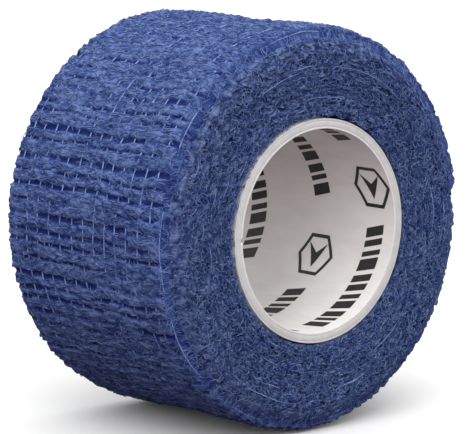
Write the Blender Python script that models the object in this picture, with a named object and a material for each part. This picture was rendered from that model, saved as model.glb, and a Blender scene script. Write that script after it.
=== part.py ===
"""A roll of cohesive stretch wrap on a paper core, standing on its curved side.

The roll's axis is world Y, the printed core is open at both ends, and the wrap is one
strip wound as a true spiral. The last turn is a puffier piece with grooves for its
elastic yarns, and the free end of the strip is three links that peel off the roll.
Angles are measured in the XZ plane from +X towards +Z.
"""
import math

import bmesh
import bpy

MM = 0.001

# Paper core
CORE_BORE_RADIUS = 15.3 * MM
INNER_PLY = 0.3 * MM
CORE_BOARD = 0.7 * MM
OUTER_PLY = 0.3 * MM
PLY_GAP = 0.1 * MM
CORE_LENGTH = 38.0 * MM
SEAM_WIDTH = 0.4 * MM
INNER_SEAM_ANGLE = 180.0
OUTER_SEAM_ANGLE = 315.0

# Wound strip
TAPE_WIDTH = 38.0 * MM
LAYER_PITCH = 0.62 * MM
LAYER_GAP = 0.12 * MM
TURNS = 20
FACETS = 32
WINDING_GAP = 0.12 * MM

# Last turn and free end
OUTER_TURN_THICKNESS = 1.0 * MM
END_GAP = 0.3 * MM
LINK_NAMES = ("tape_end_root", "tape_end_middle", "tape_end_tip")
FACETS_PER_LINK = 2

# Elastic yarns laid in the last turn
YARN_COUNT = 15
YARN_EDGE = 1.0 * MM
YARN_RADIUS = 0.15 * MM
YARN_CLEARANCE = 0.12 * MM
YARN_COVER = 0.1 * MM
YARN_END_SETBACK = 0.3 * MM

# Sizes that follow from the ones above
STEP_ANGLE = 360.0 / FACETS
TIP_ANGLE = STEP_ANGLE / 2.0
BOARD_INNER = CORE_BORE_RADIUS + INNER_PLY + PLY_GAP
OUTER_PLY_INNER = BOARD_INNER + CORE_BOARD + PLY_GAP
CORE_RADIUS = OUTER_PLY_INNER + OUTER_PLY
LAYER_THICKNESS = LAYER_PITCH - LAYER_GAP
WINDING_INNER = CORE_RADIUS + WINDING_GAP
LINK_FACETS = FACETS_PER_LINK * len(LINK_NAMES)
OUTER_TURN_FACETS = FACETS - LINK_FACETS
GROOVE_HALF_WIDTH = YARN_RADIUS + YARN_CLEARANCE
GROOVE_DEPTH = YARN_COVER + 2.0 * YARN_RADIUS + YARN_CLEARANCE
YARN_HEIGHT = OUTER_TURN_THICKNESS - YARN_COVER - YARN_RADIUS
WINDING_STATIONS = TURNS * FACETS


def clear_scene():
    """Remove every object, mesh and material left in the file."""
    for item in list(bpy.data.objects):
        bpy.data.objects.remove(item, do_unlink=True)
    for mesh in list(bpy.data.meshes):
        bpy.data.meshes.remove(mesh)
    for material in list(bpy.data.materials):
        bpy.data.materials.remove(material)


def make_material(name, colour, roughness):
    """A plain Principled material with one colour and one roughness."""
    material = bpy.data.materials.new(name)
    material.use_nodes = True
    shader = material.node_tree.nodes["Principled BSDF"]
    shader.inputs["Base Color"].default_value = (*colour, 1.0)
    shader.inputs["Roughness"].default_value = roughness
    material.diffuse_color = (*colour, 1.0)
    return material


def spiral_radius(station):
    """Inner radius of the wound strip at a station counted from the core."""
    return WINDING_INNER + LAYER_PITCH * station / FACETS


def station_angle(station):
    """Angle in degrees of a station; the strip winds outwards with falling angle."""
    return TIP_ANGLE - STEP_ANGLE * (station - WINDING_STATIONS)


def spiral_path(first, last, start_trim=0.0, end_trim=0.0):
    """Stations from first to last with the two ends drawn in by a length each.

    Returns a list of (angle, inner radius) pairs.
    """
    stations = [float(k) for k in range(first, last + 1)]
    arc = math.radians(STEP_ANGLE)
    stations[0] += start_trim / (arc * spiral_radius(first))
    stations[-1] -= end_trim / (arc * spiral_radius(last))
    return [(station_angle(s), spiral_radius(s)) for s in stations]


def ring_path(radius, seam_angle=None):
    """Stations round a plain ring; with a seam angle the ring is left open there."""
    if seam_angle is None:
        return [(TIP_ANGLE + STEP_ANGLE * k, radius) for k in range(FACETS)]
    half = math.degrees(SEAM_WIDTH / 2.0 / radius)
    angles = [seam_angle + half]
    first = math.ceil((seam_angle + half - TIP_ANGLE) / STEP_ANGLE + 0.02)
    for k in range(first, first + FACETS):
        angle = TIP_ANGLE + STEP_ANGLE * k
        if angle < seam_angle + 360.0 - half - 0.02 * STEP_ANGLE:
            angles.append(angle)
    angles.append(seam_angle + 360.0 - half)
    return [(angle, radius) for angle in angles]


def flat_section(width, thickness):
    """Rectangular cross-section as (axial, height) corner pairs."""
    half = width / 2.0
    return [(-half, 0.0), (half, 0.0), (half, thickness), (-half, thickness)]


def yarn_positions():
    """Axial position of each elastic yarn, evenly spaced between the edges."""
    span = TAPE_WIDTH - 2.0 * YARN_EDGE
    step = span / (YARN_COUNT - 1)
    return [-span / 2.0 + step * k for k in range(YARN_COUNT)]


def grooved_section():
    """Cross-section of the last turn, with one square groove for each yarn."""
    half = TAPE_WIDTH / 2.0
    top = OUTER_TURN_THICKNESS
    floor = top - GROOVE_DEPTH
    corners = [(-half, 0.0), (half, 0.0), (half, top)]
    for y in reversed(yarn_positions()):
        corners.append((y + GROOVE_HALF_WIDTH, top))
        corners.append((y + GROOVE_HALF_WIDTH, floor))
        corners.append((y - GROOVE_HALF_WIDTH, floor))
        corners.append((y - GROOVE_HALF_WIDTH, top))
    corners.append((-half, top))
    return corners


def yarn_section(y):
    """Diamond cross-section of one yarn lying in its groove."""
    return [
        (y, YARN_HEIGHT - YARN_RADIUS),
        (y + YARN_RADIUS, YARN_HEIGHT),
        (y, YARN_HEIGHT + YARN_RADIUS),
        (y - YARN_RADIUS, YARN_HEIGHT),
    ]


def add_object(name, mesh, material, origin=(0.0, 0.0, 0.0)):
    """Link a mesh as one named object whose origin sits at a given point."""
    for vertex in mesh.vertices:
        vertex.co.x -= origin[0]
        vertex.co.y -= origin[1]
        vertex.co.z -= origin[2]
    mesh.materials.append(material)
    item = bpy.data.objects.new(name, mesh)
    item.location = origin
    bpy.context.scene.collection.objects.link(item)
    return item


def sweep(name, path, section, closed=False):
    """Sweep a cross-section along stations and return the closed mesh."""
    bm = bmesh.new()
    rows = []
    for angle, radius in path:
        c = math.cos(math.radians(angle))
        s = math.sin(math.radians(angle))
        rows.append([bm.verts.new(((radius + h) * c, y, (radius + h) * s)) for y, h in section])
    pairs = list(zip(rows, rows[1:]))
    if closed:
        pairs.append((rows[-1], rows[0]))
    count = len(section)
    for near, far in pairs:
        for k in range(count):
            n = (k + 1) % count
            bm.faces.new((near[k], near[n], far[n], far[k]))
    if not closed:
        bm.faces.new(rows[0])
        bm.faces.new(list(reversed(rows[-1])))
    bmesh.ops.recalc_face_normals(bm, faces=bm.faces[:])
    mesh = bpy.data.meshes.new(name)
    bm.to_mesh(mesh)
    bm.free()
    return mesh


def build_core(paper, board):
    """The paper tube: a printed liner, the board and an outer ply."""
    liner = flat_section(CORE_LENGTH, INNER_PLY)
    path = ring_path(CORE_BORE_RADIUS, INNER_SEAM_ANGLE)
    add_object("core_inner_ply", sweep("core_inner_ply", path, liner), paper)
    tube = flat_section(CORE_LENGTH, CORE_BOARD)
    path = ring_path(BOARD_INNER)
    add_object("core_board", sweep("core_board", path, tube, closed=True), board)
    cover = flat_section(CORE_LENGTH, OUTER_PLY)
    path = ring_path(OUTER_PLY_INNER, OUTER_SEAM_ANGLE)
    add_object("core_outer_ply", sweep("core_outer_ply", path, cover), paper)


def build_winding(cloth):
    """All the inner turns of the strip as one spiral."""
    path = spiral_path(0, WINDING_STATIONS, 0.0, END_GAP / 2.0)
    section = flat_section(TAPE_WIDTH, LAYER_THICKNESS)
    add_object("tape_winding", sweep("tape_winding", path, section), cloth)


def build_outer_turn(cloth, elastic):
    """The last turn as far as the free end, and its yarns."""
    first = WINDING_STATIONS
    last = first + OUTER_TURN_FACETS
    path = spiral_path(first, last, END_GAP / 2.0, END_GAP / 2.0)
    add_object("tape_outer_turn", sweep("tape_outer_turn", path, grooved_section()), cloth)
    trim = END_GAP / 2.0 + YARN_END_SETBACK
    path = spiral_path(first, last, trim, trim)
    for index, y in enumerate(yarn_positions(), start=1):
        name = f"elastic_yarn_{index:02d}"
        add_object(name, sweep(name, path, yarn_section(y)), elastic)


def hinge_point(station):
    """Point on the strip's outer surface where two lengths of it fold."""
    angle = math.radians(station_angle(station))
    radius = spiral_radius(station) + OUTER_TURN_THICKNESS
    return (radius * math.cos(angle), 0.0, radius * math.sin(angle))


def build_free_end(cloth):
    """The free end of the strip as links that each fold on the one before."""
    station = WINDING_STATIONS + OUTER_TURN_FACETS
    parent = None
    parent_origin = (0.0, 0.0, 0.0)
    for name in LINK_NAMES:
        path = spiral_path(station, station + FACETS_PER_LINK, END_GAP / 2.0, END_GAP / 2.0)
        origin = hinge_point(station)
        link = add_object(name, sweep(name, path, grooved_section()), cloth, origin)
        if parent is not None:
            link.parent = parent
            link.location = [origin[k] - parent_origin[k] for k in range(3)]
        parent = link
        parent_origin = origin
        station += FACETS_PER_LINK


def main():
    """Build the roll from the core outwards."""
    clear_scene()
    paper = make_material("white_paper", (0.62, 0.60, 0.57), 0.75)
    board = make_material("grey_board", (0.50, 0.47, 0.43), 0.9)
    inner_cloth = make_material("blue_crepe_inner", (0.075, 0.105, 0.33), 0.95)
    outer_cloth = make_material("blue_crepe_outer", (0.085, 0.12, 0.36), 0.95)
    elastic = make_material("pale_elastic", (0.32, 0.38, 0.60), 0.7)
    build_core(paper, board)
    build_winding(inner_cloth)
    build_outer_turn(outer_cloth, elastic)
    build_free_end(outer_cloth)


main()
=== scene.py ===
"""Looks of a roll of cohesive stretch wrap wound on its printed paper core.

The roll's axis is Y and it stands on its curved side. Lengths in the classes are in
millimetres and angles in degrees, measured in the XZ plane from +X towards +Z; meshes
are turned into metres as they are placed. The strip winds outwards with falling angle,
and a place on it is given by u, its length from the tip's angle of the last inner turn,
and y, its place across the width.
"""
from __future__ import annotations

import logging
import math
from dataclasses import dataclass
from enum import Enum

import bmesh
import bpy
import numpy as np
from mathutils import Matrix, Vector


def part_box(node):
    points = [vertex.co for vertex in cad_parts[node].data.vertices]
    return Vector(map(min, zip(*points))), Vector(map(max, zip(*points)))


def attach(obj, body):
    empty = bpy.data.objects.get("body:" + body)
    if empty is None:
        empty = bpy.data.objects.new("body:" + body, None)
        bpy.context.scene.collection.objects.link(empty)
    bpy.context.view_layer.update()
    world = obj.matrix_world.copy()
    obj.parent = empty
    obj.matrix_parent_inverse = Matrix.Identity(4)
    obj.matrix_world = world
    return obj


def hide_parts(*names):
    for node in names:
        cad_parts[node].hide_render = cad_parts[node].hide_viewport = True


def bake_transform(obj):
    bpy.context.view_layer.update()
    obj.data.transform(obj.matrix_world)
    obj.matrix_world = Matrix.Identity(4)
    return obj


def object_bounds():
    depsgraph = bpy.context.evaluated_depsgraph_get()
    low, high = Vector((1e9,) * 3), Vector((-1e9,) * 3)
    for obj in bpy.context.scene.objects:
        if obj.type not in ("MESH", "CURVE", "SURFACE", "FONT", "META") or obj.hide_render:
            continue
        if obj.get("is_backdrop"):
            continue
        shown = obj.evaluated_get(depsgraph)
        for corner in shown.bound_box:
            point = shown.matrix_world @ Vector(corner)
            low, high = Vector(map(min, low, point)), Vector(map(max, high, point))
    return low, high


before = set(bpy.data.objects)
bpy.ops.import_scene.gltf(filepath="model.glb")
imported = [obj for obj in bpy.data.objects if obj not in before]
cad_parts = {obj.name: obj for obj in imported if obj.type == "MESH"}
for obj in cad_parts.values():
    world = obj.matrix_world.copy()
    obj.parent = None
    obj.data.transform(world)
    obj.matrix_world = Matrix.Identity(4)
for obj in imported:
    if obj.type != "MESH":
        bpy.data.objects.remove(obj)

MM = 0.001
SAME_POINT = 1e-7
LOG = logging.getLogger("wrap_roll")
Array = np.ndarray
BMesh = bmesh.types.BMesh
Mesh = bpy.types.Mesh
Object = bpy.types.Object
Socket = bpy.types.NodeSocket
Triple = tuple[float, float, float]
Bend = tuple[str, str, float]


# Repeatable noise

HASH_X, HASH_Y, HASH_SEED, HASH_MIX = 374761393, 668265263, 974634777, 1274126177
LOW_BITS = 0xFFFF


def cell_value(ix: Array, iy: Array, seed: int) -> Array:
    """Repeatable value from 0 to 1 for each whole-number cell of a seed's pattern."""
    n = np.asarray(ix, np.int64) * HASH_X + np.asarray(iy, np.int64) * HASH_Y
    n = n + np.int64(seed) * HASH_SEED
    n = (n ^ (n >> 13)) * HASH_MIX
    n = n ^ (n >> 16)
    return (n & LOW_BITS) / float(LOW_BITS)


def soft_noise(x: Array, y: Array, seed: int) -> Array:
    """Smooth noise from -1 to 1 with one bump a unit.

    Args:
        x: Places along the first axis, in bumps.
        y: Places along the second axis, in bumps.
        seed: Picks one of many independent patterns.

    Returns:
        An array of values from -1 to 1.
    """
    x, y = np.broadcast_arrays(np.asarray(x, float), np.asarray(y, float))
    ix, iy = np.floor(x).astype(np.int64), np.floor(y).astype(np.int64)
    fx, fy = x - ix, y - iy
    fx, fy = fx * fx * (3 - 2 * fx), fy * fy * (3 - 2 * fy)
    low = cell_value(ix, iy, seed) * (1 - fx) + cell_value(ix + 1, iy, seed) * fx
    high = cell_value(ix, iy + 1, seed) * (1 - fx) + cell_value(ix + 1, iy + 1, seed) * fx
    return 2.0 * (low * (1 - fy) + high * fy) - 1.0


def ramp(low: float, high: float, x: Array) -> Array:
    """Smooth step from 0 at low to 1 at high; low may be the larger."""
    t = np.clip((x - low) / (high - low), 0.0, 1.0)
    return t * t * (3 - 2 * t)


@dataclass(frozen=True)
class Grain:
    """One scale of noise: its bump sizes in millimetres and its strength."""

    first: float
    second: float
    strength: float = 1.0

    def at(self, x: Array, y: Array, seed: int) -> Array:
        """Noise at places in millimetres along its two axes."""
        return self.strength * soft_noise(x / self.first, y / self.second, seed)


# Sizes shared by every piece

@dataclass(frozen=True)
class RollSizes:
    """Sizes of the roll, repeated from the design or read from its boxes."""

    half_width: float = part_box("core_board")[1][1] / MM
    core_radius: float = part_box("core_outer_ply")[1][0] / MM
    liner_radius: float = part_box("core_inner_ply")[1][0] / MM
    liner_wall: float = 0.3
    pitch: float = 0.62
    strip_gap: float = 0.12
    turns: int = 20
    outer_thickness: float = 1.0
    tip_angle: float = 5.625
    flap_span: float = 67.5
    links: int = 3
    yarns: int = 15
    yarn_edge: float = 1.0

    @property
    def bore_radius(self) -> float:
        """Radius of the open bore."""
        return self.liner_radius - self.liner_wall

    @property
    def winding_inner(self) -> float:
        """Radius at which the strip starts on the core."""
        return self.core_radius + self.strip_gap

    @property
    def layer(self) -> float:
        """Thickness of one inner turn."""
        return self.pitch - self.strip_gap

    def radius(self, angle_on: Array) -> Array:
        """Inner radius of the strip a number of degrees past the last inner turn's end."""
        return self.winding_inner + self.pitch * (self.turns + np.asarray(angle_on) / 360.0)

    def yarn_places(self) -> list[float]:
        """Place of each elastic yarn across the width."""
        span = 2.0 * (self.half_width - self.yarn_edge)
        step = span / (self.yarns - 1)
        return [-span / 2.0 + step * k for k in range(self.yarns)]


SIZES = RollSizes()
HALF_WIDTH = SIZES.half_width
MEAN_OUTER = SIZES.winding_inner + SIZES.pitch * SIZES.turns + SIZES.outer_thickness
MM_PER_DEGREE = math.radians(1.0) * MEAN_OUTER


class Held(Enum):
    """How a length of the wrap is held."""

    STRETCHED = "stretched"


@dataclass(frozen=True)
class RollShape:
    """The roll's soft outline: its ends are drawn in and its middle is a little slack."""

    edge_start: float = 16.3
    edge_draw: float = 0.115
    edge_limit: float = 1.3
    waist: float = 0.35
    waist_reach: float = 7.0
    cone: float = 0.22
    corner: float = 3.2
    corner_reach: float = 2.2
    corner_draw: float = 1.25
    corner_limit: float = 1.15

    def place(self, radius: Array, y: Array) -> Array:
        """Radius at each y of a layer whose radius at the roll's middle is given."""
        depth = radius - SIZES.core_radius
        full = HALF_WIDTH - self.edge_start
        past = np.clip((np.abs(y) - self.edge_start) / full, 0.0, self.edge_limit)
        share = depth / (MEAN_OUTER - SIZES.core_radius)
        slack = self.waist * np.exp(-(y / self.waist_reach) ** 2) * share
        lean = self.cone * share * y / HALF_WIDTH
        return radius - depth * self.edge_draw * past ** 2 - slack + lean

    def round_corner(self, radius: Array, y: Array) -> Array:
        """Place across the width once the roll's outer corners are rounded over."""
        past = (radius - MEAN_OUTER + self.corner) / self.corner
        past = np.clip(past, 0.0, self.corner_limit)
        near = ramp(HALF_WIDTH - self.corner_reach, HALF_WIDTH, np.abs(y))
        return y - np.sign(y) * self.corner_draw * past ** 2 * near


SHAPE = RollShape()


# The crepe's relief

@dataclass(frozen=True)
class CrepeRelief:
    """Height of the wrinkled gauze over its mean surface, in millimetres."""

    row_pitch: float = 2.25
    gap_depth: float = 0.52
    gap_half: float = 0.42
    valley_depth: float = 0.22
    valley_rest: float = 0.35
    row_jitter: float = 0.42
    flattening: float = 0.6
    slack_zones: tuple[tuple[float, float], ...] = (
        (196.0, 40.0), (76.0, 34.0), (318.0, 34.0), (-44.0, 34.0),
    )
    wave: Grain = Grain(5.5, 8.0, 0.34)
    ripple: Grain = Grain(1.9, 2.6, 0.20)
    ridges: Grain = Grain(0.58, 1.7, 0.17)
    strands: Grain = Grain(0.36, 0.9, 0.13)
    fuzz: Grain = Grain(0.40, 0.42, 0.12)
    puffs: Grain = Grain(4.5, 6.0, 0.10)
    seed: int = 11

    def slackness(self, u: Array) -> Array:
        """How open the rows are along the strip, up to 1 where the gauze is slack."""
        angle_on = np.asarray(u) / MM_PER_DEGREE
        slack = np.zeros_like(angle_on)
        for middle, reach in self.slack_zones:
            slack = np.maximum(slack, np.exp(-((angle_on - middle) / reach) ** 4))
        return 0.5 + 0.5 * slack

    def height(self, u: Array, y: Array) -> tuple[Array, Array, Array]:
        """Height of the cloth and how open it is.

        Args:
            u: Length along the strip.
            y: Place across the width.

        Returns:
            The height over the mean surface, a mask that is 1 in the open rows, and one
            that is 1 in the shallow valleys between all the rows.
        """
        s = self.seed
        along = u + (self.wave.at(y, u, s) + self.ripple.at(y, u, s + 1))
        height = self.ridges.at(along, y, s + 2) + self.strands.at(along, y, s + 3)
        height = height + self.fuzz.at(u, y, s + 4) + self.puffs.at(u, y, s + 5)
        row = np.floor(along / self.row_pitch)
        jitter = self.row_jitter * (cell_value(row, 0 * row, s + 6) - 0.5)
        away = np.abs(along / self.row_pitch - row - 0.5 - jitter) * self.row_pitch
        wide = self.gap_half * (0.55 + 0.9 * cell_value(row, 0 * row + 3, s + 7))
        open_row = ramp(1.0, 0.35, away / wide)
        patches = 0.5 + 0.5 * soft_noise(y / 4.2, row * 5.3, s + 8)
        inside = ramp(HALF_WIDTH - 0.5, HALF_WIDTH - 1.9, np.abs(y))
        slack = self.slackness(u)
        valley = open_row * inside * (self.valley_rest + (1.0 - self.valley_rest) * slack)
        open_row = open_row * inside * ramp(0.34, 0.56, patches - 0.5 * (1.0 - slack))
        height = height * (1.0 - self.flattening * open_row) - self.gap_depth * open_row
        return height - self.valley_depth * (valley - open_row), open_row, valley


RELIEF = CrepeRelief()


# Mesh helpers

def new_object(name: str, mesh: Mesh) -> Object:
    """Link a mesh as a named object at the origin."""
    item = bpy.data.objects.new(name, mesh)
    bpy.context.scene.collection.objects.link(item)
    return item


def finish_mesh(bm: BMesh, name: str, smooth: bool = True) -> Mesh:
    """Turn a bmesh into a mesh with its normals recalculated, and free it."""
    bmesh.ops.recalc_face_normals(bm, faces=bm.faces[:])
    for face in bm.faces:
        face.smooth = smooth
    mesh = bpy.data.meshes.new(name)
    bm.to_mesh(mesh)
    bm.free()
    return mesh


def flat_tube(stations: int, rows: int) -> tuple[Mesh, Array, Array]:
    """A flattened closed sleeve: a grid whose long sides are joined and ends closed.

    Args:
        stations: Steps along the strip.
        rows: Steps round the cross-section, not counting the joined side.

    Returns:
        The mesh, and each vertex's station and row number.
    """
    bm = bmesh.new()
    bmesh.ops.create_grid(bm, x_segments=stations, y_segments=rows, size=1.0)
    rim = [e for e in bm.edges if e.is_boundary]
    long_sides = [e for e in rim if abs(e.verts[0].co.y - e.verts[1].co.y) < 1e-9]
    bmesh.ops.bridge_loops(bm, edges=long_sides)
    bmesh.ops.holes_fill(bm, edges=[e for e in bm.edges if e.is_boundary], sides=0)
    mesh = bpy.data.meshes.new("sleeve")
    bm.to_mesh(mesh)
    bm.free()
    flat = np.empty(len(mesh.vertices) * 3)
    mesh.vertices.foreach_get("co", flat)
    flat = flat.reshape(-1, 3)
    station = np.rint((flat[:, 0] + 1.0) / 2.0 * stations).astype(int)
    row = np.rint((flat[:, 1] + 1.0) / 2.0 * rows).astype(int)
    return mesh, station, row


def store_cloth_data(mesh: Mesh, u: Array, y: Array, **masks: Array) -> None:
    """Give a mesh its flat coordinates as a UV map and its masks as attributes.

    Args:
        mesh: The mesh to store them on.
        u: Length along the strip for each vertex, in millimetres.
        y: Place across the width for each vertex, in millimetres.
        masks: Named values for each vertex.
    """
    corner = np.empty(len(mesh.loops), np.int32)
    mesh.loops.foreach_get("vertex_index", corner)
    layer = mesh.uv_layers.new(name="cloth")
    pairs = np.column_stack([u[corner], y[corner]]).astype(np.float32) * 0.01
    layer.uv.foreach_set("vector", pairs.ravel())
    for name, values in masks.items():
        attribute = mesh.attributes.new(name, "FLOAT", "POINT")
        attribute.data.foreach_set("value", values.astype(np.float32))


def polar(radius: Array, turn: Array, y: Array) -> Array:
    """Points from radii, angles in radians and places across the width."""
    return np.stack([radius * np.cos(turn), y, radius * np.sin(turn)], axis=-1)


def place_polar(mesh: Mesh, radius: Array, angle: Array, y: Array) -> None:
    """Move every vertex to its radius, angle in degrees and place across the width."""
    co = polar(radius, np.radians(angle), y) * MM
    mesh.vertices.foreach_set("co", co.astype(np.float32).ravel())
    mesh.update()


def face_outwards(mesh: Mesh) -> None:
    """Recalculate a closed mesh's normals after it has been shaped, and shade it smooth."""
    bm = bmesh.new()
    bm.from_mesh(mesh)
    bmesh.ops.recalc_face_normals(bm, faces=bm.faces[:])
    for face in bm.faces:
        face.smooth = len(face.verts) <= 4
    bm.to_mesh(mesh)
    bm.free()


def hair_mesh(name: str, paths: list[Array], radius: float, sides: int = 4) -> Mesh:
    """Thin closed tubes along paths, as one mesh.

    Args:
        name: Name of the mesh.
        paths: Points of each strand, in millimetres, one row a point.
        radius: Radius of a strand in millimetres.
        sides: Sides of a strand's cross-section, 4 or 6.

    Returns:
        The mesh, in metres.
    """
    curve = bpy.data.curves.new(name, "CURVE")
    curve.dimensions = "3D"
    curve.bevel_depth = radius * MM
    curve.bevel_resolution = (sides - 4) // 2
    curve.use_fill_caps = True
    for path in paths:
        spline = curve.splines.new("POLY")
        spline.points.add(len(path) - 1)
        flat = np.column_stack([path * MM, np.ones(len(path))])
        spline.points.foreach_set("co", flat.astype(np.float32).ravel())
    carrier = bpy.data.objects.new(name, curve)
    bpy.context.scene.collection.objects.link(carrier)
    bpy.context.view_layer.update()
    depsgraph = bpy.context.evaluated_depsgraph_get()
    mesh = bpy.data.meshes.new_from_object(carrier.evaluated_get(depsgraph))
    mesh.name = name
    bpy.data.objects.remove(carrier, do_unlink=True)
    bpy.data.curves.remove(curve)
    return mesh


# Finishes

class Nodes:
    """Small helper that adds and links nodes in one tree."""

    def __init__(self, tree: bpy.types.NodeTree) -> None:
        """Keep the tree that nodes are added to."""
        self.tree = tree

    def add(self, kind: str, **settings: object) -> bpy.types.Node:
        """Add a node of a kind and set its plain properties."""
        node = self.tree.nodes.new(kind)
        for key, value in settings.items():
            setattr(node, key, value)
        return node

    def fill(self, node: bpy.types.Node, **values: object) -> None:
        """Set a node's inputs by name, with an underscore for each space."""
        for key, value in values.items():
            node.inputs[key.replace("_", " ")].default_value = value

    def weighted(self, *parts: tuple[Socket, float]) -> Socket:
        """The sum of sockets that are each multiplied by a number."""
        total, *rest = [self.math("MULTIPLY", socket, share) for socket, share in parts]
        for part in rest:
            total = self.math("ADD", total, part)
        return total

    def link(self, source: Socket, target: Socket) -> None:
        """Join one socket to another."""
        self.tree.links.new(source, target)

    def math(self, operation: str, a: object, b: object) -> Socket:
        """A Math node's result on two sockets or numbers."""
        node = self.add("ShaderNodeMath", operation=operation)
        for socket, value in zip(node.inputs, (a, b)):
            if isinstance(value, Socket):
                self.link(value, socket)
            else:
                socket.default_value = float(value)
        return node.outputs[0]

    def noise(self, vector: Socket, scale: float, detail: float = 2.0) -> Socket:
        """A Noise Texture's value on a vector, from 0 to 1."""
        node = self.add("ShaderNodeTexNoise")
        self.fill(node, Scale=scale, Detail=detail, Roughness=0.6)
        self.link(vector, node.inputs["Vector"])
        return node.outputs["Fac"]

    def stretch(self, vector: Socket, scale: Triple) -> Socket:
        """A vector multiplied by a scale along each axis."""
        node = self.add("ShaderNodeMapping")
        self.fill(node, Scale=scale)
        self.link(vector, node.inputs["Vector"])
        return node.outputs["Vector"]

    def colours(self, value: Socket, stops: list[tuple[float, Triple]]) -> Socket:
        """A colour ramp through the given stops."""
        node = self.add("ShaderNodeValToRGB")
        elements = node.color_ramp.elements
        while len(elements) < len(stops):
            elements.new(0.5)
        for element, (place, colour) in zip(elements, stops):
            element.position = place
            element.color = (*colour, 1.0)
        self.link(value, node.inputs["Fac"])
        return node.outputs["Color"]


def srgb(red: int, green: int, blue: int) -> Triple:
    """Linear colour from screen values of 0 to 255."""
    def one(value: float) -> float:
        share = value / 255.0
        return share / 12.92 if share <= 0.04045 else ((share + 0.055) / 1.055) ** 2.4
    return one(red), one(green), one(blue)


def strand_group() -> bpy.types.NodeTree:
    """Shared group: fine strands that run two ways across a cloth.

    Returns:
        The node group, with Vector and Density inputs and Shade and Height outputs.
    """
    found = bpy.data.node_groups.get("crepe_strands")
    if found:
        return found
    group = bpy.data.node_groups.new("crepe_strands", "ShaderNodeTree")
    face = group.interface
    face.new_socket("Vector", in_out="INPUT", socket_type="NodeSocketVector")
    face.new_socket("Density", in_out="INPUT", socket_type="NodeSocketFloat")
    face.new_socket("Shade", in_out="OUTPUT", socket_type="NodeSocketFloat")
    face.new_socket("Height", in_out="OUTPUT", socket_type="NodeSocketFloat")
    kit = Nodes(group)
    entry = kit.add("NodeGroupInput")
    leave = kit.add("NodeGroupOutput")
    scaled = kit.add("ShaderNodeVectorMath", operation="SCALE")
    kit.link(entry.outputs["Vector"], scaled.inputs[0])
    kit.link(entry.outputs["Density"], scaled.inputs["Scale"])
    vector = scaled.outputs[0]
    weft = kit.noise(kit.stretch(vector, (3.2, 0.75, 1.0)), 1.0, 3.0)
    warp = kit.noise(kit.stretch(vector, (0.9, 3.4, 1.0)), 1.0, 2.0)
    tangle = kit.noise(kit.stretch(vector, (2.3, 2.3, 2.3)), 1.0, 3.0)
    shade = kit.weighted((weft, 0.5), (warp, 0.15), (tangle, 0.35))
    kit.link(shade, leave.inputs["Shade"])
    kit.link(kit.weighted((weft, 0.6), (tangle, 0.4)), leave.inputs["Height"])
    return group


@dataclass(frozen=True)
class Finish:
    """A named Principled material that is built once."""

    name: str

    def material(self) -> bpy.types.Material:
        """Build the material, or return it where it exists."""
        found = bpy.data.materials.get(self.name)
        if found:
            return found
        material = bpy.data.materials.new(self.name)
        material.use_nodes = True
        tree = material.node_tree
        self.wire(Nodes(tree), tree.nodes["Principled BSDF"])
        return material

    def wire(self, kit: Nodes, shader: bpy.types.Node) -> None:
        """Add the nodes of one kind of finish; a plain one adds none."""


@dataclass(frozen=True)
class CrepeFinish(Finish):
    """Matte blue crepe gauze whose strands vary in tone, darker in its open rows and low places by
    painted shade and lighter on its raised places by painted light.
    """

    deep: Triple
    body: Triple
    raised: Triple
    density: float = 78.0
    relief_share: float = 0.5
    bump: float = 0.9

    def wire(self, kit: Nodes, shader: bpy.types.Node) -> None:
        """Wire this finish's colour, relief and gloss."""
        uv = kit.add("ShaderNodeUVMap", uv_map="cloth")
        strands = kit.add("ShaderNodeGroup", node_tree=strand_group())
        kit.link(uv.outputs["UV"], strands.inputs["Vector"])
        kit.fill(strands, Density=self.density)
        # The relief attribute is painted shade in the cloth's low places and painted light on its
        # raised places.
        relief = kit.add("ShaderNodeAttribute", attribute_name="relief")
        cloud = kit.math("SUBTRACT", kit.noise(uv.outputs["UV"], 22.0), 0.5)
        shade = kit.weighted(
            (strands.outputs["Shade"], 1.0 - self.relief_share),
            (relief.outputs["Fac"], self.relief_share), (cloud, 0.14),
        )
        # Deep is the painted shade of the low places as well as the strands' darker tone; raised
        # is the painted light of the raised places as well as their paler tone.
        stops = [(0.38, self.deep), (0.50, self.body), (0.62, self.raised)]
        kit.link(kit.colours(shade, stops), shader.inputs["Base Color"])
        bump = kit.add("ShaderNodeBump")
        kit.fill(bump, Strength=self.bump, Distance=0.0005)
        kit.link(strands.outputs["Height"], bump.inputs["Height"])
        kit.link(bump.outputs["Normal"], shader.inputs["Normal"])
        kit.fill(shader, Roughness=0.95, Specular_IOR_Level=0.15)
        kit.fill(shader, Sheen_Weight=0.08, Sheen_Roughness=0.5, Sheen_Tint=(0.45, 0.55, 1.0, 1.0))


@dataclass(frozen=True)
class ThreadFinish(Finish):
    """A thread or fibre whose colour wanders between two shades along its length."""

    dull: Triple
    bright: Triple
    wander: float = 900.0

    def wire(self, kit: Nodes, shader: bpy.types.Node) -> None:
        """Wire this finish's colour and gloss."""
        place = kit.add("ShaderNodeTexCoord")
        value = kit.noise(place.outputs["Object"], self.wander, 2.0)
        stops = [(0.35, self.dull), (0.65, self.bright)]
        kit.link(kit.colours(value, stops), shader.inputs["Base Color"])
        kit.fill(shader, Roughness=0.95, Specular_IOR_Level=0.08)


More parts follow.
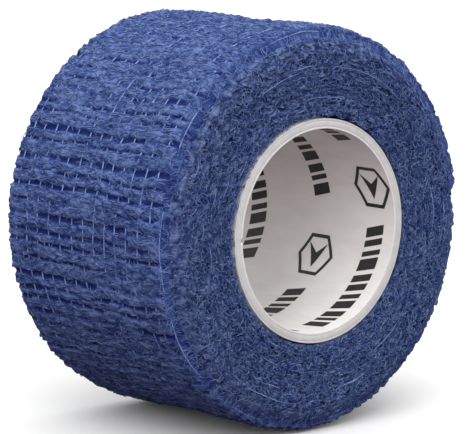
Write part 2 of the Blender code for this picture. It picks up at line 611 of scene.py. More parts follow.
@dataclass(frozen=True)
class PaperFinish(Finish):
    """White core paper or board with faint fibres and a soft mottle."""

    tint: Triple
    shade: Triple
    grain: float = 600.0
    roughness: float = 0.7

    def wire(self, kit: Nodes, shader: bpy.types.Node) -> None:
        """Wire this finish's colour, relief and gloss."""
        place = kit.add("ShaderNodeTexCoord")
        along = kit.stretch(place.outputs["Object"], (1.0, 0.25, 1.0))
        fibres = kit.noise(along, self.grain, 3.0)
        mottle = kit.noise(place.outputs["Object"], 90.0, 2.0)
        value = kit.weighted((fibres, 0.6), (mottle, 0.4))
        stops = [(0.3, self.shade), (0.6, self.tint)]
        kit.link(kit.colours(value, stops), shader.inputs["Base Color"])
        bump = kit.add("ShaderNodeBump")
        kit.fill(bump, Strength=0.25, Distance=0.00005)
        kit.link(fibres, bump.inputs["Height"])
        kit.link(bump.outputs["Normal"], shader.inputs["Normal"])
        kit.fill(shader, Roughness=self.roughness, Specular_IOR_Level=0.35)


@dataclass(frozen=True)
class InkFinish(Finish):
    """Matte near-black print that lets a little of the paper's grain through."""

    name: str = "black_print_ink"

    def wire(self, kit: Nodes, shader: bpy.types.Node) -> None:
        """Wire this finish's colour and gloss."""
        place = kit.add("ShaderNodeTexCoord")
        speckle = kit.noise(place.outputs["Object"], 2500.0, 2.0)
        stops = [(0.3, srgb(18, 18, 20)), (0.75, srgb(46, 45, 46))]
        kit.link(kit.colours(speckle, stops), shader.inputs["Base Color"])
        kit.fill(shader, Roughness=0.6)


# In both crepe finishes the deep colour is partly painted shade and the raised colour partly
# painted light, chosen through the relief attribute; the strands' own tone chooses the rest.
OUTER_CREPE = CrepeFinish(
    "blue_crepe_face", srgb(24, 39, 102), srgb(57, 78, 134), srgb(95, 115, 166),
)
EDGE_CREPE = CrepeFinish(
    "blue_crepe_edges", srgb(28, 38, 83), srgb(63, 78, 122), srgb(97, 113, 157), relief_share=0.35,
)
PALE_YARN = ThreadFinish("pale_elastic_yarn", srgb(98, 116, 174), srgb(144, 160, 208))
PALE_FLOSS = ThreadFinish("pale_blue_floss", srgb(85, 105, 155), srgb(115, 133, 178))
MIDDLE_FLOSS = ThreadFinish("blue_floss", srgb(60, 81, 137), srgb(87, 107, 156))
DEEP_FLOSS = ThreadFinish("deep_blue_floss", srgb(42, 59, 116), srgb(67, 88, 142))
PALE_EDGE = ThreadFinish("pale_blue_edge_floss", srgb(91, 114, 166), srgb(126, 147, 192))
MIDDLE_EDGE = ThreadFinish("blue_edge_floss", srgb(64, 87, 146), srgb(95, 117, 168))
DEEP_EDGE = ThreadFinish("deep_blue_edge_floss", srgb(41, 58, 116), srgb(70, 92, 146))
LINER_PAPER = PaperFinish("printed_liner_paper", srgb(231, 229, 227), srgb(221, 218, 215))
BOARD_PAPER = PaperFinish(
    "core_board_edge", srgb(212, 213, 212), srgb(192, 193, 192), grain=900.0, roughness=0.9,
)
COVER_PAPER = PaperFinish("core_cover_paper", srgb(212, 213, 213), srgb(192, 193, 193))


def dress(
    item: Object, finish: Finish, slot: str, body: str | None, *nodes: str,
) -> None:
    """Give a piece its material and its body, and hide the design's nodes that it stands for.

    Args:
        item: The finished piece.
        finish: Its finish.
        slot: Name of the material slot; not used.
        body: The body it rides on, or None for a piece that is left without a body.
        nodes: The design's nodes that it replaces.
    """
    item.data.materials.clear()
    item.data.materials.append(finish.material())
    if body is not None:
        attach(item, body)
    if nodes:
        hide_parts(*nodes)
    faces = len(item.data.polygons)
    LOG.info("%s: %d faces, on %s", item.name, faces, body or "a bend between two bodies")


# The paper core

@dataclass
class PaperCore:
    """The core: a printed liner, the board and the outer ply, one inside another."""

    steps: int = 192
    bevel: float = 0.04
    board_wall: float = 0.86
    gap: float = 0.02
    seam_angle: float = 180.0
    seam_width: float = 0.35

    def ply(self, name: str, inner: float, wall: float, seam: float | None) -> Object:
        """Turn one ply of the core, whole or open along a seam.

        Args:
            name: Name of the piece.
            inner: Inner radius.
            wall: Thickness.
            seam: Angle of the butt seam, or None for a whole ring.

        Returns:
            The ply as an object.
        """
        half = HALF_WIDTH
        bm = bmesh.new()
        corners = [(inner, -half), (inner + wall, -half), (inner + wall, half), (inner, half)]
        bm.faces.new([bm.verts.new((r * MM, y * MM, 0.0)) for r, y in corners])
        bmesh.ops.bevel(
            bm, geom=bm.verts[:], offset=min(self.bevel, wall * 0.3) * MM, segments=3,
            profile=0.5, affect="VERTICES", material=-1,
        )
        open_angle = 0.0 if seam is None else math.degrees(self.seam_width / inner)
        start = 0.0 if seam is None else seam + open_angle / 2.0
        turn = math.radians(360.0 - open_angle)
        first = list(bm.faces)
        bmesh.ops.rotate(
            bm, verts=bm.verts[:], cent=(0, 0, 0),
            matrix=Matrix.Rotation(-math.radians(start), 3, "Y"),
        )
        bmesh.ops.spin(
            bm, geom=first + list(bm.edges) + list(bm.verts), cent=(0, 0, 0), axis=(0, -1, 0),
            angle=turn, steps=self.steps, use_merge=seam is None, use_duplicate=False,
        )
        if seam is None:
            inside = [f for f in bm.faces if len(f.verts) > 4]
            bmesh.ops.delete(bm, geom=inside, context="FACES_ONLY")
        bmesh.ops.remove_doubles(bm, verts=bm.verts[:], dist=SAME_POINT)
        return new_object(name, finish_mesh(bm, name))

    def build(self) -> None:
        """Make the three plies and dress them."""
        liner = self.ply("core_liner", SIZES.bore_radius, SIZES.liner_wall, self.seam_angle)
        dress(liner, LINER_PAPER, "printed_liner", "roll", "core_inner_ply")
        board_inner = SIZES.liner_radius + self.gap
        board = self.ply("core_tube", board_inner, self.board_wall, None)
        dress(board, BOARD_PAPER, "core_board", "roll", "core_board")
        cover_inner = board_inner + self.board_wall + self.gap
        cover = self.ply("core_cover", cover_inner, SIZES.core_radius - cover_inner, None)
        dress(cover, COVER_PAPER, "core_cover", "roll", "core_outer_ply")


@dataclass
class LinerPrint:
    """Generic print on the liner: rows of slanted bars and outlined hexagons.

    A word is a run of bar widths in which the negative ones are gaps.
    """

    lift: float = 0.02
    thickness: float = 0.03
    bar_slant: float = 0.9
    line: float = 0.65
    mark_size: float = 3.9
    bar_height: float = 3.6
    row_places: tuple[float, ...] = (-14.9, -3.2, 11.8)
    row_shift: float = 46.0
    first_mark: float = 19.0
    period: float = 137.0
    word_lead: float = 22.0
    spare_lead: float = 20.0
    arrow_share: float = 0.52
    notch_share: float = 0.2
    longest_edge: float = 1.0
    word: tuple[float, ...] = (
        1.5, -0.5, 1.0, -0.75, 0.8, -0.45, 1.9, -0.8, 1.2, -0.5, 1.2, -0.75, 0.9, -0.5, 1.7, -0.8,
        1.4, -0.5, 0.8, -0.7, 1.8,
    )

    def patch(self, bm: BMesh, outline: list[tuple[float, float]]) -> None:
        """Add one flat patch of ink, in flat coordinates of arc length and depth."""
        verts = [bm.verts.new((s, y, 0.0)) for s, y in outline]
        bm.faces.new(verts)

    def bars(self, bm: BMesh, start: float, y: float) -> None:
        """Add one word's run of slanted bars from an arc length, centred on a depth."""
        s = start
        low, high = y - self.bar_height / 2.0, y + self.bar_height / 2.0
        for width in self.word:
            if width > 0:
                end, slant = s + width, self.bar_slant
                self.patch(bm, [(s, low), (end, low), (end + slant, high), (s + slant, high)])
            s += abs(width)

    def hexagon(self, bm: BMesh, s: float, y: float) -> None:
        """Add an outlined hexagon with a plain arrow head in it."""
        loops = []
        for radius in (self.mark_size, self.mark_size - self.line):
            ring = bmesh.ops.create_circle(bm, cap_ends=False, segments=6, radius=radius)["verts"]
            bmesh.ops.translate(bm, verts=ring, vec=(s, y, 0.0))
            loops += list({edge for vert in ring for edge in vert.link_edges})
        bmesh.ops.bridge_loops(bm, edges=loops)
        half = self.mark_size * self.arrow_share
        notch = s - half * self.notch_share
        self.patch(bm, [(s - half, y - half), (s + half, y), (notch, y)])
        self.patch(bm, [(notch, y), (s + half, y), (s - half, y + half)])

    def layout(self, bm: BMesh) -> None:
        """Set out the rows of marks in flat coordinates of arc length and depth."""
        per_degree = SIZES.bore_radius * math.pi / 180.0
        for row, y in enumerate(self.row_places):
            first = self.first_mark - self.row_shift * row
            for k in range(2):
                mark = first + self.period * k
                self.hexagon(bm, -mark * per_degree, y)
                self.bars(bm, -(mark - self.word_lead) * per_degree, y)
            self.bars(bm, -(first - self.period + self.spare_lead) * per_degree, y)

    def build(self) -> None:
        """Lay out the print flat, give it its thickness and wrap it on the bore's wall."""
        bm = bmesh.new()
        self.layout(bm)
        bmesh.ops.triangulate(bm, faces=bm.faces[:])
        long = [e for e in bm.edges if e.calc_length() > self.longest_edge]
        bmesh.ops.subdivide_edges(bm, edges=long, cuts=3, use_grid_fill=True)
        bmesh.ops.recalc_face_normals(bm, faces=bm.faces[:])
        made = bmesh.ops.extrude_face_region(bm, geom=bm.faces[:])
        top = [v for v in made["geom"] if isinstance(v, bmesh.types.BMVert)]
        bmesh.ops.translate(bm, verts=top, vec=(0, 0, self.thickness))
        wall = SIZES.bore_radius - self.lift
        for vert in bm.verts:
            turn = -vert.co.x / SIZES.bore_radius
            radius = wall - vert.co.z
            vert.co = Vector((radius * math.cos(turn), vert.co.y, radius * math.sin(turn))) * MM
        item = new_object("liner_print", finish_mesh(bm, "liner_print", smooth=False))
        dress(item, InkFinish(), "printed_liner", "roll")


# The wound turns

@dataclass
class WoundTurns:
    """A run of inner turns of the strip, with crinkled edges."""

    name: str
    first_turn: float
    last_turn: float
    seed: int
    step: float = 0.5
    rim: tuple[float, ...] = (0.0, 0.35, 0.9, 1.7, 3.0)
    rim_full: float = 0.6
    calm: float = 0.35
    calm_radii: tuple[float, float] = (17.6, 19.2)
    lap_shift: float = 17.0
    side_shift: int = 900
    draw_in: float = 0.18
    sink: float = 0.25
    crinkle: Grain = Grain(0.75, 1.0)
    ruffle: Grain = Grain(1.9, 1.0)
    tufts: Grain = Grain(0.6, 1.0)
    swell: Grain = Grain(3.0, 3.0)
    swell_seed: int = 77

    def rows(self) -> tuple[Array, Array]:
        """Places across the width and layer heights round the cross-section."""
        half = HALF_WIDTH
        edge = [half - inset for inset in self.rim]
        top = [-p for p in edge] + edge[::-1]
        y = np.array([-edge[4], -edge[2], -edge[1]] + top + [edge[1], edge[2], edge[4]])
        high = np.array([0.0] * 3 + [1.0] * len(top) + [0.0] * 3)
        return y, high

    def build(self) -> None:
        """Make the run of turns and dress it."""
        y_row, high_row = self.rows()
        mean = SIZES.winding_inner + SIZES.pitch * (self.first_turn + self.last_turn) / 2.0
        length = (self.last_turn - self.first_turn) * 2.0 * math.pi * mean
        stations = int(length / self.step)
        mesh, station, row = flat_tube(stations, len(y_row) - 1)
        share = station / stations
        r0 = SIZES.winding_inner + SIZES.pitch * self.first_turn
        r1 = SIZES.winding_inner + SIZES.pitch * self.last_turn
        run = share * length
        radius_now = np.sqrt(r0 * r0 + share * (r1 * r1 - r0 * r0))
        turn = (radius_now - SIZES.winding_inner) / SIZES.pitch
        angle = SIZES.tip_angle - 360.0 * (turn - SIZES.turns)
        y, high = y_row[row], high_row[row]
        near = ramp(HALF_WIDTH - self.rim[-1], HALF_WIDTH - self.rim_full, np.abs(y))
        side = np.where(y > 0, self.side_shift, 0)
        calm = self.calm + (1.0 - self.calm) * ramp(*self.calm_radii, radius_now)
        lap = np.floor(turn) * self.lap_shift
        crinkle = self.crinkle.at(run, lap + side + high * 0.6, self.seed)
        ruffle = self.ruffle.at(run, lap + side, self.seed + 1)
        tufts = self.tufts.at(run, high * 3.0 + side, self.seed + 2)
        flat = polar(radius_now, np.radians(angle), y)
        across = flat[:, 0] + side * self.swell.first
        swell = self.swell.at(across, flat[:, 2], self.swell_seed)
        out = near * calm * (0.34 * tufts + 0.22 * ruffle) + near * 0.12 * swell
        y = y + np.sign(y) * (out - self.draw_in)
        # The last turn under the outer cloth is kept flat so that its edges stay below it.
        free = ramp(SIZES.turns - 0.5, SIZES.turns - 1.5, turn)
        swollen = near * (SIZES.strip_gap * free - self.sink * (1.0 - free))
        thick = high * (SIZES.layer + swollen) * (1.0 - near * 0.25 * (0.5 + 0.5 * crinkle))
        radius = SHAPE.place(radius_now + thick, y)
        radius = radius + near * calm * free * (0.20 * crinkle + 0.16 * ruffle)
        y = SHAPE.round_corner(radius_now, y)
        place_polar(mesh, radius, angle, y)
        # relief is painted shade and light: lighter where the tufts stand out of the face and
        # darker where they sink in.
        relief = 0.5 + 0.5 * tufts * near
        store_cloth_data(mesh, run, y + radius_now * 3.0, relief=relief)
        face_outwards(mesh)
        item = new_object(self.name, mesh)
        nodes = ("tape_winding",) if self.first_turn == 0 else ()
        dress(item, EDGE_CREPE, "inner_cloth", "roll", *nodes)


EDGE_REACH = 0.9
EDGE_SAG = 0.42


@dataclass
class OuterCloth:
    """A length of the last turn, with the full relief of the crepe on its outside."""

    name: str
    start: float
    end: float
    body: str | None
    nodes: tuple[str, ...]
    bend: Bend | None = None
    step: float = 0.34
    across: float = 0.34
    frayed_end: bool = False
    under_rows: int = 0
    under_share: float = 0.35
    lip_inset: tuple[float, ...] = (1.2, 0.55, 0.12, 0.0)
    lip_rise: tuple[float, ...] = (0.0, 0.12, 0.42, 0.72)
    side_shift: int = 300
    fray: Grain = Grain(0.55, 1.0, 0.30)
    slow_fray: Grain = Grain(2.6, 1.0, 0.18)
    fray_inset: float = 0.22
    edge_sag: Grain = Grain(0.9, 1.0, 0.2)
    end_steps: float = 4.5
    end_fray: Grain = Grain(0.7, 1.0, 1.5)
    end_round: float = 1.2
    end_thinning: float = 0.30
    seed: int = 41

    def rows(self) -> tuple[Array, Array]:
        """Places across the width and heights round the cross-section."""
        half = HALF_WIDTH
        count = int(2.0 * half / self.across)
        top = np.linspace(-half, half, count + 1)
        lip = half - np.array(self.lip_inset)
        rise = np.array(self.lip_rise)
        under = np.linspace(lip[0], -lip[0], self.under_rows + 2)[1:-1]
        y = np.concatenate([-lip, top, lip[::-1], under])
        below = np.zeros(self.under_rows)
        return y, np.concatenate([rise, np.ones(count + 1), rise[::-1], below])

    def build(self) -> None:
        """Make the length of cloth and dress it."""
        y_row, high_row = self.rows()
        degrees = self.end - self.start
        length = degrees * MM_PER_DEGREE
        stations = int(length / self.step)
        mesh, station, row = flat_tube(stations, len(y_row) - 1)
        angle_on = self.start + degrees * station / stations
        u = angle_on * MM_PER_DEGREE
        y, high = y_row[row], high_row[row]
        height = RELIEF.height(u, y)[0]
        inner = SIZES.radius(angle_on)
        edge = ramp(HALF_WIDTH - EDGE_REACH, HALF_WIDTH, np.abs(y))
        side = np.where(y > 0, self.side_shift, 0)
        fray = self.fray.at(u, side + 5.0 * high, self.seed)
        fray = fray + self.slow_fray.at(u, side + high, self.seed + 1)
        y = y + np.sign(y) * edge * (fray - self.fray_inset)
        sag = EDGE_SAG + self.edge_sag.at(u, y, self.seed + 2)
        top = outer_surface(angle_on) + height - edge * sag
        radius = inner + (top - inner) * high
        if self.under_rows:
            radius = radius - (1.0 - high) * self.under_share * height
        if self.frayed_end:
            last = ramp(stations - self.end_steps, stations, station)
            rounded = self.end_round * ramp(HALF_WIDTH - 3.0, HALF_WIDTH, np.abs(y))
            torn = self.end_fray.at(y, 0 * y, self.seed + 3)
            angle_on = angle_on + last * (torn - rounded)
            radius = radius - last * self.end_thinning * high
        drawn = SHAPE.round_corner(radius, y)
        place_polar(mesh, SHAPE.place(radius, y), SIZES.tip_angle - angle_on, drawn)
        # relief is painted shade and light: darker in the crepe's low places and lighter on its
        # raised ones; it is also made darker towards the edges of the width.
        edge_nearness = ramp(HALF_WIDTH - 2.4, HALF_WIDTH, np.abs(y))
        relief = np.clip(0.62 + 1.15 * height - 0.30 * edge_nearness, 0.0, 1.0)
        store_cloth_data(mesh, u, y, relief=relief)
        face_outwards(mesh)
        item = new_object(self.name, mesh)
        dress(item, OUTER_CREPE, "outer_cloth", self.body, *self.nodes)
        bend_piece(item, self.bend)


RELIEF_ROOM = 0.30
PUFFING = (0.3, 5.0)


def outer_surface(angle_on: Array) -> Array:
    """Mean radius of the wrap's outside a number of degrees past the inner turns' end.

    Args:
        angle_on: Degrees along the strip, negative beneath the free end; the cloth there
            puffs up over the first few degrees of the last turn.

    Returns:
        The radius in millimetres.
    """
    angle_on = np.asarray(angle_on, float)
    thin = SIZES.radius(angle_on) + SIZES.layer - RELIEF_ROOM
    puffed = SIZES.radius(angle_on) + SIZES.outer_thickness - RELIEF_ROOM
    return thin + (puffed - thin) * ramp(*PUFFING, angle_on)


def hinge_point(angle_on: float) -> Vector:
    """Point in metres on the outside of the strip at an angle past the inner turns' end."""
    turn = math.radians(SIZES.tip_angle - angle_on)
    radius = float(SIZES.radius(angle_on)) + SIZES.outer_thickness
    return Vector((radius * math.cos(turn), 0.0, radius * math.sin(turn))) * MM


def bend_piece(item: Object, bend: Bend | None) -> None:
    """Bake a piece's placement into its mesh when it is given a bend; its hinge point is worked
    out but not used.

    Args:
        item: The finished piece.
        bend: The body before, the body after and the hinge's angle, or None.
    """
    if bend is None:
        return
    before, after, angle_on = bend
    hinge = hinge_point(angle_on)
    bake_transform(item)


@dataclass
class Yarns:
    """Elastic yarns lying in a length of the last turn."""

    start: float
    end: float
    radius: float = 0.10
    height: float = -0.20
    edge_drop: float = 0.08
    edge_zone: float = 2.0
    step: float = 0.55
    drift: Grain = Grain(7.0, 1.0, 0.14)
    waver: Grain = Grain(1.5, 1.0, 0.05)
    weave: Grain = Grain(2.2, 1.0, 0.10)
    edge_dive: Grain = Grain(9.0, 1.0, 0.30)
    seed: int = 61

    def path(self, index: int, place: float) -> Array:
        """Points along one yarn, in millimetres.

        Args:
            index: Number of the yarn, which sets how it wanders.
            place: Its place across the width.

        Returns:
            One row a point.
        """
        count = int((self.end - self.start) * MM_PER_DEGREE / self.step)
        angle_on = np.linspace(self.start, self.end, count)
        u = angle_on * MM_PER_DEGREE
        own = np.full(count, float(index))
        y = place + self.drift.at(u, own, self.seed) + self.waver.at(u, own, self.seed + 1)
        lift = self.height + self.weave.at(u, own, self.seed + 2)
        if abs(place) > HALF_WIDTH - self.edge_zone:
            lift = lift - self.edge_drop + self.edge_dive.at(u, own, self.seed + 3)
        radius = SHAPE.place(outer_surface(angle_on) + lift, y)
        y = SHAPE.round_corner(outer_surface(angle_on), y)
        return polar(radius, np.radians(SIZES.tip_angle - angle_on), y)

    def build_single(self) -> None:
        """Make each yarn of the last turn as a piece of its own."""
        for index, place in enumerate(SIZES.yarn_places(), start=1):
            name = f"elastic_yarn_{index:02d}"
            label = f"yarn_{index:02d}"
            mesh = hair_mesh(label, [self.path(index, place)], self.radius, 6)
            item = new_object(label, mesh)
            dress(item, PALE_YARN, "elastic_yarn", "roll", name)

    def build_joined(self, name: str, bend: Bend) -> None:
        """Make all the yarns of one length of the free end as one piece."""
        paths = [self.path(i, p) for i, p in enumerate(SIZES.yarn_places(), start=1)]
        item = new_object(name, hair_mesh(name, paths, self.radius, 6))
        dress(item, PALE_YARN, "elastic_yarn", None)
        bend_piece(item, bend)


@dataclass
class FreeEnd:
    """The peelable end of the strip: three lengths of cloth with their yarns.

    The lead and the trims are in degrees.
    """

    lead: float = 9.0
    end_trim: float = 1.2
    yarn_trim: float = 2.6
    under_rows: int = 56
    floss_density: float = 1.9
    floss_under: float = 0.35
    floss_seed: int = 50

    def build(self) -> None:
        """Make each of the three lengths with its yarns and loose fibres."""
        whole = 360.0
        root = whole - SIZES.flap_span
        link = SIZES.flap_span / SIZES.links
        cuts = [root - self.lead, root + link * 0.5, root + link * 1.5, whole - self.end_trim]
        bodies = ["roll", "free_end_root", "free_end_middle", "free_end_tip"]
        nodes = ["tape_end_root", "tape_end_middle", "tape_end_tip"]
        for k, node in enumerate(nodes):
            bend = (bodies[k], bodies[k + 1], root + link * k)
            part = node.replace("tape_end_", "")
            OuterCloth(
                f"free_end_cloth_{part}", cuts[k], cuts[k + 1], None, (node,), bend,
                frayed_end=(k == len(nodes) - 1), under_rows=self.under_rows,
            ).build()
            yarn_end = cuts[k + 1] - (self.yarn_trim if k == len(nodes) - 1 else 0.0)
            Yarns(cuts[k], yarn_end).build_joined(f"free_end_yarns_{part}", bend)
            OutsideFloss(
                f"free_end_floss_{part}", cuts[k], cuts[k + 1], None, bend,
                density=self.floss_density, under_share=self.floss_under,
                seed=self.floss_seed + len(FlossTone) * k,
            ).build()


class FlossTone(Enum):
    """Shade of a set of loose fibres."""

    PALE = "pale"
    MIDDLE = "middle"
    DEEP = "deep"

    def outside(self) -> Finish:
        """The finish of this shade on the outside of the roll."""
        return dict(zip(FlossTone, (PALE_FLOSS, MIDDLE_FLOSS, DEEP_FLOSS)))[self]

    def face(self) -> Finish:
        """The finish of this shade on the wound faces."""
        return dict(zip(FlossTone, (PALE_EDGE, MIDDLE_EDGE, DEEP_EDGE)))[self]


FIBRE_POINTS = 4


def curled(
    rng: np.random.Generator, heading: Array, length: Array, curl: float,
) -> tuple[Array, Array]:
    """Offsets of fibres that curl gently on a flat surface.

    Args:
        rng: Source of the draws.
        heading: Direction of each fibre in radians.
        length: Length of each fibre.
        curl: Spread of the turn from end to end, in radians.

    Returns:
        The two offsets of every point, one row a fibre.
    """
    t = np.linspace(0.0, 1.0, FIBRE_POINTS)[None, :] - 0.5
    turn = heading[:, None] + rng.normal(0.0, curl, len(heading))[:, None] * t
    return np.cos(turn) * t * length[:, None], np.sin(turn) * t * length[:, None]


@dataclass
class OutsideFloss:
    """Fibres lying on the outside of a length of the last turn, mostly across it."""

    name: str
    start: float
    end: float
    body: str | None = "roll"
    bend: Bend | None = None
    density: float = 1.30
    under_share: float = 0.0
    radius: float = 0.062
    lengths: tuple[float, float] = (0.9, 2.6)
    curl: float = 0.7
    overhang: float = 0.3
    end_margin: float = 0.5
    spread: float = 0.40
    proud: tuple[float, float] = (-0.05, 0.09)
    waver: float = 0.04
    inset: float = 0.15
    seed: int = 5

    def build_tone(self, number: int, tone: FlossTone) -> None:
        """Lay one shade of fibres."""
        rng = np.random.default_rng(self.seed + number)
        half = HALF_WIDTH
        length = (self.end - self.start) * MM_PER_DEGREE
        count = int(self.density * length * 2.0 * half)
        margin = self.end_margin
        middle = self.start * MM_PER_DEGREE + rng.uniform(margin, length - margin, count)
        place = rng.uniform(-half - self.overhang, half + self.overhang, count)
        unruly = self.spread + ramp(half - 2.6, half - 0.6, np.abs(place))
        heading = math.pi / 2.0 + rng.normal(0.0, 1.0, count) * unruly
        along, across = curled(rng, heading, rng.uniform(*self.lengths, count), self.curl)
        u = middle[:, None] + along
        y = place[:, None] + across
        height, open_row, valley = RELIEF.height(u, y)
        lift = rng.uniform(*self.proud, count)[:, None]
        lift = lift + self.waver * rng.normal(0.0, 1.0, u.shape)
        y = np.clip(y, -half + self.inset, half - self.inset)
        angle_on = u / MM_PER_DEGREE
        edge = ramp(half - EDGE_REACH, half, np.abs(y))
        surface = outer_surface(angle_on) + height + lift - edge * EDGE_SAG
        below = np.arange(count) >= count * (1.0 - self.under_share)
        inner = SIZES.radius(angle_on) - OuterCloth.under_share * height - 0.5 * lift
        surface = np.where(below[:, None], inner, surface)
        radius = SHAPE.place(surface, y)
        y = SHAPE.round_corner(surface, y)
        co = polar(radius, np.radians(SIZES.tip_angle - angle_on), y)
        closed = open_row.mean(axis=1) < 0.30
        shown = closed & (valley.mean(axis=1) * 0.8 < rng.uniform(0.0, 1.0, count))
        name = f"{self.name}_{tone.value}"
        item = new_object(name, hair_mesh(name, list(co[shown]), self.radius))
        dress(item, tone.outside(), "outer_cloth", self.body)
        bend_piece(item, self.bend)

    def build(self) -> None:
        """Lay every shade of fibres."""
        for number, tone in enumerate(FlossTone):
            self.build_tone(number, tone)


@dataclass
class FaceFloss:
    """Short fibres that lie every way over a wound face; side is -1 or 1."""

    name: str
    side: float
    count: int = 5000
    radius: float = 0.05
    lengths: tuple[float, float] = (0.45, 1.4)
    curl: float = 0.9
    proud: tuple[float, float] = (-0.22, 0.24)
    waver: float = 0.10
    sink: float = 0.05
    seed: int = 15

    def build_tone(self, number: int, tone: FlossTone) -> None:
        """Lay one shade of fibres."""
        rng = np.random.default_rng(self.seed + number)
        count = self.count
        low, high = SIZES.winding_inner + 0.2, MEAN_OUTER - 0.1
        middle = np.sqrt(rng.uniform(low ** 2, high ** 2, count))
        turn = rng.uniform(0.0, 2.0 * math.pi, count)
        heading = rng.uniform(0.0, math.pi, count)
        along, across = curled(rng, heading, rng.uniform(*self.lengths, count), self.curl)
        x = middle[:, None] * np.cos(turn)[:, None] + along
        z = middle[:, None] * np.sin(turn)[:, None] + across
        r = np.clip(np.hypot(x, z), low, MEAN_OUTER)
        angle = np.arctan2(z, x)
        proud = rng.uniform(*self.proud, count)[:, None]
        proud = proud + self.waver * rng.normal(0.0, 1.0, x.shape)
        y = SHAPE.round_corner(r, self.side * (HALF_WIDTH + proud - self.sink))
        placed = SHAPE.place(r, np.full(r.shape, self.side * HALF_WIDTH))
        co = polar(placed, angle, y)
        name = f"{self.name}_{tone.value}"
        item = new_object(name, hair_mesh(name, list(co), self.radius))
        dress(item, tone.face(), "inner_cloth", "roll")

    def build(self) -> None:
        """Lay every shade of fibres."""
        for number, tone in enumerate(FlossTone):
            self.build_tone(number, tone)


FRONT_ARCS = (
    (120.8, 100.5, 25.2), (85.6, 44.5, 25.6), (97.5, 72.7, 20.3), (105.0, 100.0, 18.85),
    (167.0, 158.0, 22.6), (160.0, 152.0, 20.6), (150.0, 141.0, 18.9), (172.0, 178.0, 24.0),
    (228.0, 262.0, 27.2), (236.0, 246.0, 21.5), (300.0, 318.0, 23.0), (12.0, -6.0, 24.2),
)


@dataclass
class EdgeLoops:
    """Pale yarn ends that show as thin arcs on a wound face; side is -1 or 1.

    Each of the chosen arcs is its first angle, its last angle and its radius.
    """

    name: str
    side: float
    arcs: tuple[Triple, ...] = ()
    count: int = 12
    radius: float = 0.06
    step: float = 0.6
    spans: tuple[float, float] = (5.0, 16.0)
    radii: tuple[float, float] = (18.6, MEAN_OUTER - 2.0)
    wobble: float = 0.10
    wobble_seed: int = 71
    dip: float = 0.14
    proud: float = 0.16
    seed: int = 21

    def path(self, start: float, end: float, radius: float) -> Array:
        """Points along one arc between two angles at a radius."""
        count = int(abs(end - start) * radius * math.radians(1.0) / self.step) + 3
        angle = np.radians(np.linspace(start, end, count))
        own = np.full(count, radius)
        wavy = radius + self.wobble * soft_noise(np.arange(count) / 3.0, own, self.wobble_seed)
        dip = self.dip * np.cos(np.linspace(-math.pi, math.pi, count))
        y = self.side * (HALF_WIDTH + self.proud) + self.side * dip
        r = SHAPE.place(wavy, np.full(count, self.side * HALF_WIDTH))
        return polar(r, angle, SHAPE.round_corner(wavy, y))

    def build(self) -> None:
        """Make the chosen arcs and some scattered ones as one piece."""
        rng = np.random.default_rng(self.seed)
        paths = [self.path(*arc) for arc in self.arcs]
        for _ in range(self.count):
            start = rng.uniform(0.0, 360.0)
            end = start + rng.uniform(*self.spans)
            paths.append(self.path(start, end, rng.uniform(*self.radii)))
        item = new_object(self.name, hair_mesh(self.name, paths, self.radius, 4))
        dress(item, PALE_YARN, "elastic_yarn", "roll")


# Studio

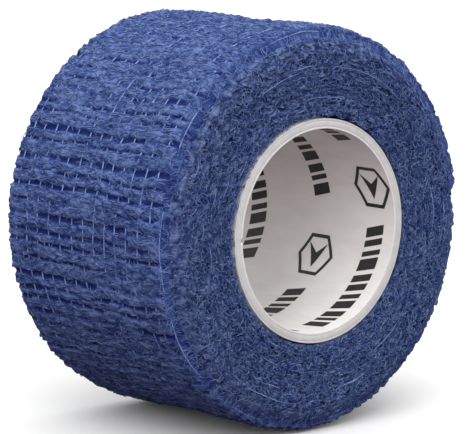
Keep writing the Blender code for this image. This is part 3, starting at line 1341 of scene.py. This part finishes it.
@dataclass(frozen=True)
class Studio:
    """Pale floor, soft lights and the camera."""

    azimuth: float = -41.0
    elevation: float = 8.43
    distance: float = 0.449
    lens: float = 227.4
    sensor: float = 36.0
    shift_x: float = -3.0 / 466.0
    floor_half: float = 4.0
    floor_seen: Triple = (0.92, 0.92, 0.92)
    floor_thrown: Triple = (0.10, 0.045, 0.07)
    sky: float = 0.93
    top_place: Triple = (-0.10, -0.30, 1.30)
    top_size: float = 1.6
    top_power: float = 9.8
    front_place: Triple = (-0.62, -0.72, 0.62)
    front_size: float = 0.9
    front_power: float = 6.5

    def floor(self, level: float) -> None:
        """Lay the floor at a height; it looks pale and throws little light back up."""
        bm = bmesh.new()
        bmesh.ops.create_grid(bm, x_segments=2, y_segments=2, size=self.floor_half)
        bmesh.ops.translate(bm, verts=bm.verts[:], vec=(0.0, 0.0, level))
        mesh = bpy.data.meshes.new("floor")
        bm.to_mesh(mesh)
        bm.free()
        item = new_object("floor", mesh)
        material = bpy.data.materials.new("pale_floor")
        material.use_nodes = True
        kit = Nodes(material.node_tree)
        pale = material.node_tree.nodes["Principled BSDF"]
        kit.fill(pale, Base_Color=(*self.floor_seen, 1.0), Roughness=0.9)
        dim = kit.add("ShaderNodeBsdfDiffuse")
        kit.fill(dim, Color=(*self.floor_thrown, 1.0))
        seen = kit.add("ShaderNodeLightPath")
        mix = kit.add("ShaderNodeMixShader")
        kit.link(seen.outputs["Is Camera Ray"], mix.inputs[0])
        kit.link(dim.outputs[0], mix.inputs[1])
        kit.link(pale.outputs[0], mix.inputs[2])
        surface = material.node_tree.nodes["Material Output"].inputs["Surface"]
        kit.link(mix.outputs[0], surface)
        mesh.materials.append(material)
        item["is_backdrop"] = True

    def area_light(self, name: str, place: Triple, size: float, power: float) -> None:
        """Hang a square soft light that points at the roll."""
        data = bpy.data.lights.new(name, "AREA")
        data.size = size
        data.energy = power
        item = bpy.data.objects.new(name, data)
        item.location = place
        item.rotation_euler = (-Vector(place)).to_track_quat("-Z", "Y").to_euler()
        bpy.context.scene.collection.objects.link(item)

    def lights(self) -> None:
        """Set the world and the lights."""
        world = bpy.data.worlds.new("studio")
        world.use_nodes = True
        sky = world.node_tree.nodes["Background"]
        sky.inputs["Color"].default_value = (1.0, 1.0, 1.0, 1.0)
        sky.inputs["Strength"].default_value = self.sky
        bpy.context.scene.world = world
        self.area_light("top_light", self.top_place, self.top_size, self.top_power)
        self.area_light("front_light", self.front_place, self.front_size, self.front_power)
        bpy.context.scene.view_settings.view_transform = "Standard"

    def camera(self) -> None:
        """Stand the camera where it looks at the roll's centre."""
        a, e = math.radians(self.azimuth), math.radians(self.elevation)
        back = Vector((math.sin(a) * math.cos(e), -math.cos(a) * math.cos(e), math.sin(e)))
        data = bpy.data.cameras.new("camera")
        data.lens = self.lens
        data.sensor_width = self.sensor
        data.shift_x = self.shift_x
        data.clip_start = 0.01
        item = bpy.data.objects.new("camera", data)
        item.location = back * self.distance
        item.rotation_euler = back.to_track_quat("Z", "Y").to_euler()
        bpy.context.scene.collection.objects.link(item)
        bpy.context.scene.camera = item


# The whole roll

def main() -> None:
    """Build every piece of the roll and the studio round it."""
    logging.basicConfig(level=logging.INFO, format="%(name)s: %(message)s")
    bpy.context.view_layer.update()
    studio = Studio()
    studio.camera()
    PaperCore().build()
    LinerPrint().build()
    WoundTurns("inner_turns", 0.0, 10.0, 101).build()
    WoundTurns("middle_turns", 10.0, SIZES.turns - 0.2, 201).build()
    under = SIZES.flap_span + 11.0
    root = 360.0 - SIZES.flap_span - FreeEnd.lead
    OuterCloth("outer_turn_cloth", -under, root, "roll", ("tape_outer_turn",)).build()
    Yarns(-under, root).build_single()
    FreeEnd().build()
    OutsideFloss("outer_turn_floss", 2.0, root).build()
    OutsideFloss("covered_turn_floss", -under + 2.0, 2.0, density=0.8, seed=80).build()
    FaceFloss("front_face_floss", -1.0).build()
    FaceFloss("back_face_floss", 1.0, count=4100, radius=0.055, seed=35).build()
    EdgeLoops("front_edge_yarns", -1.0, FRONT_ARCS).build()
    EdgeLoops("back_edge_yarns", 1.0, count=20, seed=22).build()
    low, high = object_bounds()
    studio.floor(low.z)
    studio.lights()


if __name__ == "__main__":
    main()
